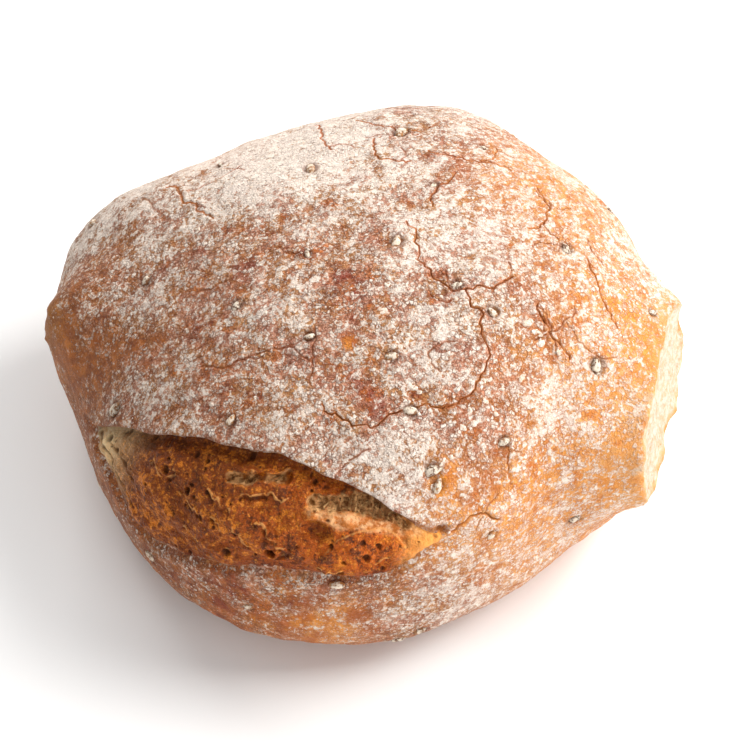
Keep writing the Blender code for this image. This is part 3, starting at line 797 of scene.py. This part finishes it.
def make_burst():
    """The torn dough between the lips, as a skin of its own that tucks under both of them."""
    fewer = 1
    azimuth = np.linspace(*SHEET_SPAN, SHEET_COLUMNS // fewer)
    t = np.linspace(0, 1, SHEET_ROWS // fewer)
    upper, lower = lip_lines(azimuth)
    start = upper - TUCK_UPPER / PER_DEGREE
    end = np.minimum(lower - TUCK_LOWER / PER_DEGREE, start - 1.5)
    elevation = start + (end - start) * (0.55 * t + 0.45 * t**1.6)[:, None]
    around = np.broadcast_to(azimuth, elevation.shape)
    ways = toward(around, elevation).reshape(-1, 3)
    p, smooth, normal = skin(ways, fine=False)[:3]
    around, elevation = around.ravel(), elevation.ravel()
    out, shown = burst_detail(smooth, around, elevation)
    below, above, ends = depth_in_burst(ways)
    inner = ramp(1.6, 4.5, below) * ramp(0.2, 2.2, above) * ends
    p = p + normal * (out * inner - 0.7 * (1 - ends) - 0.25 * ramp(0.4, -0.6, above))[:, None]
    wide = len(azimuth)
    i, j = np.mgrid[0 : len(t) - 1, 0 : wide - 1]
    faces = np.stack([i * wide + j, (i + 1) * wide + j, (i + 1) * wide + j + 1, i * wide + j + 1], -1)
    burst = piece("burst", p, faces.reshape(-1, 4))
    paint(burst, gold=ramp(222, 282, around), grey=ramp(224, 203, around), end=ramp(274, 281, around),
          near_lip=ramp(6, 1.5, below), near_foot=ramp(7, 0.5, above),
          **{name: value * inner for name, value in shown.items()})
    burst.data.materials.append(burst_material())


def kernel(segments=14, rings=9):
    """A plump kernel of half size 1, which lies along X and has a crease along its top."""
    points = []
    for r in range(rings + 1):
        t = np.pi * r / rings
        for s in range(segments):
            a = 2 * np.pi * s / segments
            y, z = np.sin(t) * np.cos(a), np.sin(t) * np.sin(a)
            crease = 0.22 * bell(y, 0, 0.16) * max(z, 0)
            points.append((-np.cos(t), y * (1 + 0.2 * np.cos(t)), z - crease))
    return np.array(points), np.array(band(rings, segments))


def make_grains():
    """The kernels baked into the crust."""
    shape, shape_faces = kernel()
    points, faces, tones, tops = [], [], [], []
    chance = draws(40)
    for azimuth, elevation, length, turn in PLACES:
        way = np.atleast_2d(toward(azimuth, elevation))
        smooth = smooth_loaf(way)
        normal = frame_at(way, smooth)[0][0]
        side = unit(np.cross((0.1, 0.2, 1.0), normal))
        ahead = np.cos(np.radians(turn)) * side + np.sin(np.radians(turn)) * np.cross(normal, side)
        across = np.cross(normal, ahead)
        half = np.array([length / 2, length * 0.27, length * 0.26])
        at = skin(way, fine=False)[0][0] + normal * (0.3 + half[2] * 0.05)
        local = shape * half
        local = local + 0.12 * chance.normal(size=(1, 3))
        faces.append(shape_faces + sum(len(x) for x in points))
        points.append(at + local @ np.array([ahead, across, normal]))
        tones.append(np.full(len(shape), chance.random()))
        tops.append(shape[:, 2])
    points = np.concatenate(points)
    points += 0.22 * np.stack([rough(points, 1.6, 2, 41 + k) for k in range(3)], -1)
    grains = piece("grains", points, np.concatenate(faces))
    paint(grains, tone=np.concatenate(tones), top=np.concatenate(tops))
    grains.data.materials.append(grain_material())


def beside(normal, chance):
    """Two directions along the skin, at right angles to each other and turned by chance."""
    side = unit(np.cross(chance.normal(size=normal.shape), normal))
    return side, np.cross(normal, side)


def make_flour():
    """Crumbs and clots of flour that stand on the crust."""
    chance = draws(50)
    wanted = FLOUR_CRUMBS
    ways = unit(chance.normal(size=(wanted * 9, 3)))
    ways = ways[ways[:, 2] > -0.25]
    smooth = smooth_loaf(ways)
    density = flour_density(ways, smooth)
    clump = ramp(-0.3, 0.5, noise(smooth, 7, 51) + 0.6 * noise(smooth, 3, 52))
    keep = chance.random(len(ways)) < 0.9 * density**1.2 * (0.2 + 0.8 * clump)
    below, above, ends = depth_in_burst(ways)
    keep &= ~((below > -0.8) & (above > -0.4) & (ends > 0.1))
    for face in KISSING_FACES:
        keep &= past_rim(smooth, face) > 1
    for path in MAIN_CRACKS:
        keep &= to_path(smooth, path) > 0.8
    ways = ways[keep][:wanted]
    p, smooth, normal = skin(ways)[:3]
    size = 0.1 + 0.4 * chance.random(len(ways)) ** 5
    side, across = beside(normal, chance)
    corners = []
    for k in range(5):
        angle = 2 * np.pi * k / 5 + chance.uniform(-0.4, 0.4, len(ways))
        far = size * chance.uniform(0.7, 1.35, len(ways))
        sink = chance.uniform(-0.25, 0.1, len(ways)) * size
        corners.append(p + side * (far * np.cos(angle))[:, None] + across * (far * np.sin(angle))[:, None]
                       + normal * sink[:, None])
    corners.append(p + normal * (size * chance.uniform(0.35, 0.8, len(ways)))[:, None])
    corners.append(p - normal * (size * 0.6)[:, None])
    points = np.stack(corners, 1).reshape(-1, 3)
    start = np.arange(len(ways))[:, None, None] * 7
    fan = np.array([(k, (k + 1) % 5, 5) for k in range(5)] + [((k + 1) % 5, k, 6) for k in range(5)])
    flour = piece("flour", points, (start + fan).reshape(-1, 3), smooth=False)
    paint(flour, tone=np.repeat(chance.random(len(ways)), 7))
    flour.data.materials.append(flour_material())


def lump_dome(sides=13, rings=5):
    """A flat dome of radius 1: its points, as way round, share of the radius and share of the height."""
    points = [(2 * np.pi * s / sides, np.cos(t), np.sin(t)) for t in np.linspace(-0.3, 1.2, rings)
              for s in range(sides)]
    points.append((0, 0, 1))
    faces = []
    for a, b, c, d in band(rings - 1, sides):
        faces += [(a, b, c), (a, c, d)]
    last = (rings - 1) * sides
    faces += [(last + s, last + (s + 1) % sides, last + sides) for s in range(sides)]
    return np.array(points), np.array(faces)


def make_lumps():
    """Flat lumps of caked flour, in clusters and spread where the dusting is thick."""
    chance = draws(55)
    ways = []
    for azimuth, elevation, radius, count in LUMP_SPOTS:
        off = chance.normal(size=(count, 3)) * np.radians(radius) * 0.7
        ways.append(unit(toward(azimuth, elevation) + off))
    spread = unit(chance.normal(size=(MORE_LUMPS * 14, 3)))
    spread = spread[spread[:, 2] > 0]
    spread = spread[flour_density(spread, smooth_loaf(spread)) > 0.5 + 0.35 * chance.random(len(spread))]
    ways = np.concatenate([*ways, spread[:MORE_LUMPS]])
    below, above, ends = depth_in_burst(ways)
    ways = ways[(below < -0.8) | (above < -0.8) | (ends < 0.05)]
    p, smooth, normal = skin(ways)[:3]
    near = np.array([to_path(smooth, path) for path in MAIN_CRACKS]).min(0)
    keep = (near > 1.2) & (past_rim(smooth, KISSING_FACES[0]) > 2)
    p, smooth, normal = p[keep], smooth[keep], normal[keep]
    dome, dome_faces = lump_dome()
    size = 0.35 + 0.75 * chance.random(len(p)) ** 2
    side, across = beside(normal, chance)
    long = chance.uniform(1, 1.6, len(p))
    reach = dome[:, 1] * size[:, None]
    points = p[:, None] + side[:, None] * (reach * np.cos(dome[:, 0]) * long[:, None])[..., None]
    points = points + across[:, None] * (reach * np.sin(dome[:, 0]))[..., None]
    high = size * chance.uniform(0.15, 0.42, len(p))
    points = points + normal[:, None] * (dome[:, 2] * high[:, None])[..., None]
    points = points.reshape(-1, 3)
    points += 0.34 * np.stack([rough(points, 0.9, 2, 56 + k) for k in range(3)], -1)
    start = np.arange(len(p))[:, None, None] * len(dome)
    lumps = piece("flour_lumps", points, (start + dome_faces).reshape(-1, 3))
    paint(lumps, tone=np.repeat(chance.random(len(p)), len(dome)))
    lumps.data.materials.append(flour_material())


def tube(path, radius, sides=6):
    """A thin bent thread, whose open ends lie in the rims of the tear."""
    path = np.asarray(path)
    along = unit(np.gradient(path, axis=0))
    side = unit(np.cross(along, (0.31, 0.2, 0.93)))
    across = np.cross(along, side)
    angle = 2 * np.pi * np.arange(sides) / sides
    ring = side[:, None] * np.cos(angle)[:, None] + across[:, None] * np.sin(angle)[:, None]
    points = (path[:, None] + ring * np.asarray(radius)[:, None, None]).reshape(-1, 3)
    return points, band(len(path) - 1, sides)


def make_strands():
    """Walls and threads of crumb that stand across the tears."""
    chance = draws(60)
    points, faces = [], []
    count = 0
    for (stations, half, deep), threads in zip(TEARS, THREADS):
        for n in range(threads):
            k = (n + chance.uniform(0.1, 0.9)) / threads * (len(stations) - 1.001)
            i = int(k)
            at = np.array(stations[i]) + (k - i) * (np.array(stations[i + 1]) - stations[i])
            reach = half * chance.uniform(0.35, 1.0) / PER_DEGREE
            slant = chance.uniform(-1.1, 1.1)
            t = np.linspace(-1, 1, 11)
            sag = -deep * chance.uniform(0.45, 0.95) * (1 - t**2) ** 0.6
            azimuth, elevation = at[0] + slant * t, at[1] + reach * t
            way = toward(azimuth, elevation)
            smooth = smooth_loaf(way)
            normal = frame_at(way, smooth)[0]
            line = smooth + normal * (sag + 0.4)[:, None] + chance.normal(size=(11, 3)) * 0.13
            thick = chance.uniform(0.14, 0.36) * (1.4 - 0.8 * (1 - t**2)) * chance.uniform(0.7, 1.3, 11)
            more, more_faces = tube(line, thick)
            faces += [tuple(v + count for v in face) for face in more_faces]
            points.append(more)
            count += len(more)
    strands = piece("crumb_strands", np.concatenate(points), faces)
    strands.data.materials.append(crumb_material())


class Shade:
    """A Principled material, its colour so far, and short ways to make its nodes.

    Where a node takes a value, a name stands for the number painted on the mesh under that name,
    and a tuple for a colour as a screen shows it, from 0 to 255.
    """

    def __init__(self, name):
        self.material = bpy.data.materials.new(name)
        self.material.use_nodes = True
        self.tree = self.material.node_tree
        self.shader = self.tree.nodes["Principled BSDF"]
        self.place = self.node("ShaderNodeTexCoord").outputs["Object"]
        self.painted = {}
        self.colour = None

    def node(self, kind, **settings):
        node = self.tree.nodes.new(kind)
        for name, value in settings.items():
            setattr(node, name, value)
        return node

    def number(self, name):
        if name not in self.painted:
            node = self.node("ShaderNodeAttribute", attribute_name=name, attribute_type="GEOMETRY")
            self.painted[name] = node.outputs["Fac"]
        return self.painted[name]

    def feed(self, socket, value):
        if isinstance(value, str):
            value = self.number(value)
        if isinstance(value, bpy.types.NodeSocket):
            self.tree.links.new(value, socket)
        else:
            socket.default_value = linear(value) if isinstance(value, tuple) else value

    def chain(self, operation, values):
        total = values[0]
        for value in values[1:]:
            node = self.node("ShaderNodeMath", operation=operation)
            self.feed(node.inputs[0], total)
            self.feed(node.inputs[1], value)
            total = node.outputs[0]
        return total

    def add(self, *values):
        return self.chain("ADD", values)

    def times(self, *values):
        return self.chain("MULTIPLY", values)

    def most(self, *values):
        return self.chain("MAXIMUM", values)

    def swing(self, value, reach):
        """A value of 0 to 1 as a swing about zero, with that reach from end to end."""
        return self.times(self.add(value, -0.5), reach)

    def step(self, start, end, value):
        """0 before start and 1 past end, with a soft turn at both."""
        node = self.node("ShaderNodeMapRange", interpolation_type="SMOOTHSTEP")
        self.feed(node.inputs["Value"], value)
        self.feed(node.inputs["From Min"], start)
        self.feed(node.inputs["From Max"], end)
        return node.outputs[0]

    def texture(self, kind, size, place=None, **settings):
        """A texture node whose pattern is about size mm across."""
        node = self.node(kind, **settings)
        self.feed(node.inputs["Vector"], place or self.place)
        self.feed(node.inputs["Scale"], 1 / (size * MM))
        return node

    def grown(self, size, detail=2.0, rough_share=0.5):
        """Noise of 0 to 1 whose swells are about size mm across."""
        node = self.texture("ShaderNodeTexNoise", size)
        self.feed(node.inputs["Detail"], detail)
        self.feed(node.inputs["Roughness"], rough_share)
        return node.outputs["Fac"]

    def folds(self, size, detail):
        """0 along thin wandering lines about size mm apart, and up to about 0.6 between them."""
        node = self.node("ShaderNodeMath", operation="ABSOLUTE")
        self.feed(node.inputs[0], self.swing(self.grown(size, detail), 2))
        return node.outputs[0]

    def bent_place(self, size, amount):
        """Coordinates pushed about by noise, by up to amount mm."""
        bend = self.texture("ShaderNodeTexNoise", size)
        shift = self.node("ShaderNodeVectorMath", operation="MULTIPLY_ADD")
        self.feed(shift.inputs[0], bend.outputs["Color"])
        shift.inputs[1].default_value = (2 * amount * MM,) * 3
        self.feed(shift.inputs[2], self.place)
        return shift.outputs[0]

    def cells(self, size, feature="DISTANCE_TO_EDGE", place=None, output="Distance"):
        return self.texture("ShaderNodeTexVoronoi", size, place, feature=feature).outputs[output]

    def blend(self, share, a, b):
        node = self.node("ShaderNodeMix", data_type="RGBA")
        self.feed(node.inputs[0], share)
        self.feed(node.inputs[6], a)
        self.feed(node.inputs[7], b)
        return node.outputs[2]

    def over(self, colour, *shares):
        """Lays a colour over the colour so far, by the product of the shares."""
        self.colour = self.blend(self.times(*shares), self.colour, colour)

    def finish(self, roughness, height, depth):
        self.feed(self.shader.inputs["Base Color"], self.colour)
        self.feed(self.shader.inputs["Roughness"], roughness)
        bump = self.node("ShaderNodeBump")
        bump.inputs["Strength"].default_value = 1.0
        bump.inputs["Distance"].default_value = depth * MM
        self.feed(bump.inputs["Height"], height)
        self.feed(self.shader.inputs["Normal"], bump.outputs[0])
        return self.material


def linear(colour):
    """The renderer's linear values of a colour as a screen shows it."""
    value = np.array(colour) / 255
    value = np.where(value <= 0.04045, value / 12.92, ((value + 0.055) / 1.055) ** 2.4)
    return (*value.tolist(), 1.0)


def crust_material():
    """Baked crust under flour, from the bare crust up."""
    s = Shade("crust")
    patch, dabs = s.grown(14, 3, 0.6), s.grown(5, 3, 0.6)
    clumps, grit = s.grown(2.8, 5, 0.7), s.grown(0.8, 3, 0.6)
    bent = s.bent_place(1.8, 0.4)
    cell = s.cells(1.15, "F1", bent, "Color")
    relief = s.add(s.times(clumps, 0.36), s.times(grit, 0.44), s.times(cell, 0.2))
    warmth = s.add("warm", s.swing(patch, 1.7), s.swing(dabs, 1.7))
    s.colour = s.blend(s.step(-0.25, 0.2, warmth), MAROON, UMBER)
    s.over(ORANGE, s.step(0.3, 0.85, warmth))
    s.over(s.blend(s.step(0.4, 0.6, dabs), (160, 90, 30), (190, 110, 40)), "left", 0.75)
    s.over(PEACH, "belly", 0.3)
    s.over((148, 102, 50), "tip", 0.7)
    rim = s.add("golden", s.swing(dabs, 1.2), s.swing(s.grown(1.6, 3), 0.9))
    s.over(GOLD, s.step(0.1, 1.0, rim))
    s.over((240, 164, 92), "valley")
    s.over(CREAM, s.step(0.1, 0.9, s.add("pale", s.swing(clumps, 1.4))))
    dab = s.step(0.6, 0.7, s.grown(6.5, 2, 0.6))
    s.over(s.blend("left", (204, 112, 44), (172, 100, 40)), dab, 0.6)

    # The flour's density, painted shade in the hollows of its relief, and its clots where the relief is high.
    density = s.add("flour", s.swing(patch, 0.5), s.swing(dabs, 0.5), s.times("valley", -0.3),
                    s.times(dab, -0.22))
    floured = s.step(0.15, 0.4, "flour")
    s.over(HOLLOW_SHADE, s.step(0.5, 0.41, relief), s.add(0.85, s.times("warm", -0.8)), floured)
    over = s.add(relief, s.times(density, 0.25), -0.635)
    clot = s.add(s.times(s.step(-0.06, 0.015, over), 0.45), s.times(s.step(-0.01, 0.05, over), 0.55))
    haze = s.step(0.1, 0.9, s.add(density, s.swing(s.grown(1.1, 3, 0.6), 1.6)))
    veil = s.blend(s.step(0.42, 0.58, s.grown(9, 2)), (224, 166, 106), (236, 178, 152))
    veil = s.blend(s.step(0.35, 0.75, "warm"), veil, (240, 188, 132))
    s.over(veil, haze, s.add(0.62, s.times("left", -0.25)))
    bare = s.most(s.step(0.15, 0.6, "crack"), s.times("hair", 0.7), "torn", s.times("moat", 0.3),
                  s.times("lip", 0.5), s.times("pale", 0.8))
    flour = s.times(clot, s.add(1.0, s.times(bare, -1.0)))
    s.over(s.blend(s.step(0.0, 0.12, over), (224, 202, 184), FLOUR), flour, 0.92)

    # Thin gaps between clots (painted shade where cool, bare crust where warm), dark specks, and the cracks.
    net = s.times(s.step(0.18, 0.02, s.cells(1.15, place=bent)), s.step(0.4, 0.55, s.grown(3.2, 2)))
    finer = s.step(0.2, 0.02, s.cells(0.65, place=bent))
    net = s.most(net, s.times(finer, s.step(0.42, 0.58, s.grown(2.1, 2)), 0.75))
    thick = s.step(0.6, 0.85, s.add(density, s.swing(clumps, 0.8)))
    lines = s.times(s.step(0.045, 0.005, s.folds(2.6, 3)), thick, s.step(0.4, 0.5, s.grown(3.4, 2)))
    gaps = s.times(s.most(s.times(net, s.add(1.0, s.times(thick, -0.5))), lines),
                   s.add(1.0, s.times("golden", -0.6)), s.step(0.9, 0.1, "pale"))
    s.over((84, 58, 40), s.step(0.64, 0.72, s.grown(0.9, 2)), s.step(0.5, 0.1, "warm"), floured, 0.6)
    # Painted shade in the gaps between clots, turning to bare orange crust where the crust is warm.
    s.over(s.blend(s.step(0.1, 0.8, "warm"), (96, 50, 28), (190, 104, 50)), gaps, 0.68)
    s.over((204, 116, 54), s.step(0.1, 0.4, "crack"), 0.45)
    s.over((116, 56, 20), s.step(0.65, 1.0, "crack"), 0.75)
    s.over((160, 84, 40), s.step(0.35, 0.9, "hair"), 0.5)
    # Painted shade in the moat round each grain.
    s.over((84, 44, 24), "moat", 0.5)
    s.over((120, 58, 36), "lip", 0.5)

    # The open crumb of the torn faces.
    crumb = s.blend(s.step(0.38, 0.62, s.grown(2.6, 4, 0.65)), (214, 198, 182), (204, 170, 136))
    crumb = s.blend(s.step(0.16, 0.08, s.cells(3.2, "F1")), crumb, (180, 128, 84))
    s.over(crumb, s.step(0.25, 0.75, s.add("pale", s.swing(s.grown(3.2, 4, 0.65), 1.8), -0.1)))
    height = s.add(s.times(relief, 3.4), s.times(clot, 0.3), s.times(gaps, -0.35))
    s.shader.inputs["Specular IOR Level"].default_value = 0.2
    return s.finish(s.add(0.5, s.times(flour, 0.45), s.times("torn", 0.3)), height, 0.5)


def burst_material():
    """Torn glossy dough: mottled brown, pale in the tears, with painted highlights and painted shade."""
    s = Shade("burst")
    patch, dabs, fine = s.grown(9, 4, 0.62), s.grown(2.6, 4, 0.65), s.grown(1.2, 4, 0.7)
    fold, crease = s.folds(2.2, 3), s.folds(0.9, 3)
    mottle = s.add(s.swing(patch, 2.3), s.swing(dabs, 2.2), s.swing(fine, 1.7))
    s.colour = s.blend(s.step(0.0, 1.0, s.add("gold", mottle)), (136, 64, 8), (190, 88, 8))
    s.over((82, 36, 8), s.step(0.05, 0.42, mottle), 0.85)
    s.over((232, 134, 34), s.step(-0.08, -0.5, mottle), 0.8)
    # Painted shade along the fold and crease lines, and painted highlights on the rises between them.
    s.over((76, 34, 10), s.step(0.05, 0.0, fold), 0.55)
    s.over((216, 130, 48), s.step(0.3, 0.5, fold), 0.4)
    s.over((68, 32, 10), s.step(0.06, 0.0, crease), 0.55)
    s.over((228, 156, 78), s.step(0.3, 0.45, crease), 0.45)
    # Painted highlights: small bright dabs standing in for glints on the glossy dough.
    s.over((240, 150, 52), s.step(0.58, 0.7, s.grown(1.5, 3, 0.6)), 0.6)
    s.over((66, 30, 8), s.step(0.42, 0.32, s.grown(1.7, 3, 0.6)), 0.65)
    s.over(s.blend(s.step(-0.3, 0.3, mottle), (255, 232, 178), (236, 190, 128)), "grey", 0.88)
    s.over((104, 42, 14), "near_foot", 0.7)
    # Painted shade under the overhanging upper lip.
    s.over((80, 38, 16), "near_lip", 0.5)
    s.over((255, 172, 84), "end", 0.8)
    s.over(s.blend(s.step(0.4, 0.6, dabs), (244, 192, 138), (206, 122, 52)), "slope", 0.75)
    # Painted highlight on the film edges, bubble rings and tear rims.
    s.over((232, 164, 92), s.step(0.3, 0.9, s.add("film", s.swing(fine, 1.2))), 0.6)
    # Painted shade in the grooves under the film edges and in the folds at the left end.
    s.over((70, 36, 18), "fold", 0.6)
    # Painted shade in the pits and bubble hollows.
    s.over((58, 28, 10), "pit_shade", 0.75)
    crumb = s.blend(s.step(0.36, 0.62, s.grown(2.4, 4, 0.7)), (120, 80, 38), (255, 202, 138))
    # Painted shade between the ribs of crumb in the tears.
    crumb = s.blend(s.times(s.step(-0.1, -0.9, "ribs"), 0.35), crumb, (96, 64, 30))
    s.over(crumb, "tear", 0.9)
    s.shader.inputs["Specular IOR Level"].default_value = 0.22
    roughness = s.add(0.36, s.times(fine, 0.25), s.times("tear", 0.3))
    return s.finish(roughness, s.add(fine, fold, s.times(crease, 0.6)), 0.5)


def grain_material():
    s = Shade("grain")
    s.colour = s.blend(s.step(0.1, 0.8, "tone"), (122, 76, 40), (188, 130, 76))
    s.over((84, 48, 26), s.step(0.5, 0.65, s.grown(1.0, 3, 0.6)), 0.6)
    dust = s.step(0.0, 0.4, s.add(s.times("top", 0.45), s.swing(s.grown(1.1, 4, 0.65), 3.0)))
    s.over((240, 226, 206), dust, 0.85)
    return s.finish(s.add(0.55, s.times(dust, 0.4)), s.add(s.grown(0.6, 3, 0.6), dust), 0.3)


def flour_material():
    s = Shade("flour")
    s.colour = s.blend("tone", (244, 234, 222), (230, 210, 190))
    s.over((196, 146, 112), s.step(0.5, 0.66, s.grown(0.7, 4, 0.65)), 0.55)
    # Painted shade in the thin lines between the flour's granules.
    s.over((140, 86, 56), s.step(0.12, 0.02, s.cells(0.9)), 0.35)
    return s.finish(0.95, s.grown(0.5, 3, 0.6), 0.3)


def crumb_material():
    s = Shade("crumb")
    s.colour = s.blend(s.step(0.35, 0.65, s.grown(1.4, 3, 0.6)), (222, 178, 118), (150, 104, 58))
    s.over((204, 116, 48), s.step(0.55, 0.7, s.grown(4, 1)), 0.6)
    return s.finish(0.6, s.grown(0.4, 2), 0.1)


def make_stage():
    """The pale floor."""
    corners = [(FLOOR_HALF * x, FLOOR_HALF * y, 0) for x, y in ((-1, -1), (1, -1), (1, 1), (-1, 1))]
    floor = in_scene("floor", mesh_of("floor", corners, [(0, 1, 2, 3)]))
    paper = bpy.data.materials.new("floor")
    paper.use_nodes = True
    shader = paper.node_tree.nodes["Principled BSDF"]
    shader.inputs["Base Color"].default_value = (0.92, 0.92, 0.92, 1)
    shader.inputs["Roughness"].default_value = 0.9
    floor.data.materials.append(paper)


def look_from(obj, azimuth, elevation, distance, target):
    """Puts a lamp or camera that far from its target, in that direction, and turns it to the target."""
    way = Vector(toward(azimuth, elevation).tolist())
    obj.location = Vector(target) + way * distance
    obj.rotation_euler = way.to_track_quat("Z", "Y").to_euler()


def make_light(name, azimuth, elevation, distance, size, power, colour):
    """A soft square lamp that shines on the loaf."""
    light = bpy.data.lights.new(name, "AREA")
    light.size = size
    light.energy = power
    light.color = colour
    look_from(in_scene(name, light), azimuth, elevation, distance, LIGHT_TARGET)


def make_view():
    """The photograph's viewpoint: from the front, 50 degrees above the table."""
    lens = bpy.data.cameras.new("camera")
    lens.lens, lens.sensor_width, lens.clip_start = LENS, SENSOR, CLIP_START
    camera = in_scene("camera", lens)
    look_from(camera, -90, VIEW_ELEVATION, VIEW_DISTANCE, VIEW_TARGET)
    bpy.context.scene.camera = camera
    world = bpy.data.worlds.new("world")
    world.use_nodes = True
    background = world.node_tree.nodes["Background"]
    background.inputs["Color"].default_value = (1, 1, 1, 1)
    background.inputs["Strength"].default_value = SKY
    bpy.context.scene.world = world
    bpy.context.scene.view_settings.view_transform = "Standard"
    for light in LIGHTS:
        make_light(*light)


make_crust()
make_burst()
make_grains()
make_flour()
make_lumps()
make_strands()
make_stage()
make_view()
